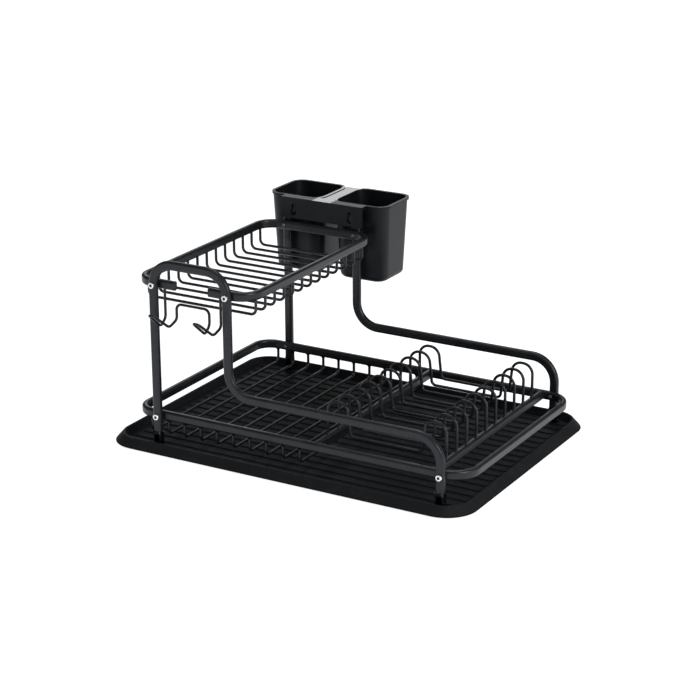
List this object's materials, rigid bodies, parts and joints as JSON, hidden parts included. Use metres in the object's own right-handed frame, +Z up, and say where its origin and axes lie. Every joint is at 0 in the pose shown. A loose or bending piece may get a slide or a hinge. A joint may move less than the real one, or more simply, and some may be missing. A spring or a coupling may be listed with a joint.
{
  "type": "dish drying rack",
  "caption": "Two-level dish drying rack of flat-oval tube and wire, with a plate section, a cup hook, a drip tray and a lift-off cutlery holder with two cups.",
  "frame": {"origin": "centre of the bounding box, on the underside of the drip tray", "axes": "+X along the long side towards the plate section, +Y from the hooked front to the rear where the cutlery holder hangs, +Z up"},
  "size_m": [0.4834, 0.4134, 0.2406],
  "materials": {
    "coated_tube": "satin powder coat, near black",
    "coated_wire": "satin powder coat, near black",
    "tray_plastic": "matt moulded plastic, near black",
    "holder_plastic": "satin moulded plastic, near black",
    "clear_cap": "clear soft plastic",
    "screw_steel": "bright plated steel"
  },
  "bodies": {
    "tray": {"drip_tray": "tray_plastic"},
    "rack": {"front_side_frame": "coated_tube", "rear_side_frame": "coated_tube", "lower_rim": "coated_tube", "left_crossbar": "coated_tube", "right_crossbar": "coated_tube", "upper_rim": "coated_tube", "bowl_wire_1": "coated_wire", "bowl_wire_2": "coated_wire", "bowl_wire_3": "coated_wire", "bowl_wire_4": "coated_wire", "bowl_wire_5": "coated_wire", "bowl_wire_6": "coated_wire", "bowl_wire_7": "coated_wire", "bowl_wire_8": "coated_wire", "bowl_wire_9": "coated_wire", "bowl_wire_10": "coated_wire", "plate_wire_1": "coated_wire", "plate_wire_2": "coated_wire", "plate_wire_3": "coated_wire", "plate_wire_4": "coated_wire", "plate_wire_5": "coated_wire", "plate_wire_6": "coated_wire", "plate_wire_7": "coated_wire", "plate_wire_8": "coated_wire", "plate_wire_9": "coated_wire", "plate_wire_10": "coated_wire", "upper_wire_1": "coated_wire", "upper_wire_2": "coated_wire", "upper_wire_3": "coated_wire", "upper_wire_4": "coated_wire", "upper_wire_5": "coated_wire", "upper_wire_6": "coated_wire", "upper_wire_7": "coated_wire", "upper_wire_8": "coated_wire", "upper_wire_9": "coated_wire", "upper_wire_10": "coated_wire", "upper_wire_11": "coated_wire", "upper_wire_12": "coated_wire", "upper_wire_13": "coated_wire", "cup_hook": "coated_wire", "front_left_foot_cap": "clear_cap", "front_right_foot_cap": "clear_cap", "rear_left_foot_cap": "clear_cap", "rear_right_foot_cap": "clear_cap", "front_lower_left_screw": "screw_steel", "front_lower_right_screw": "screw_steel", "front_upper_left_screw": "screw_steel", "front_upper_right_screw": "screw_steel", "rear_lower_left_screw": "screw_steel", "rear_lower_right_screw": "screw_steel", "rear_upper_left_screw": "screw_steel", "rear_upper_right_screw": "screw_steel"},
    "holder": {"utensil_holder": "holder_plastic"}
  },
  "joints": [
    {"name": "rack_lift", "type": "slide", "parent": "tray", "child": "rack", "axis": [0, 0, 1], "range_m": [0, 0.15]},
    {"name": "holder_lift", "type": "slide", "parent": "rack", "child": "holder", "axis": [0, 0, 1], "range_m": [0, 0.12]}
  ]
}
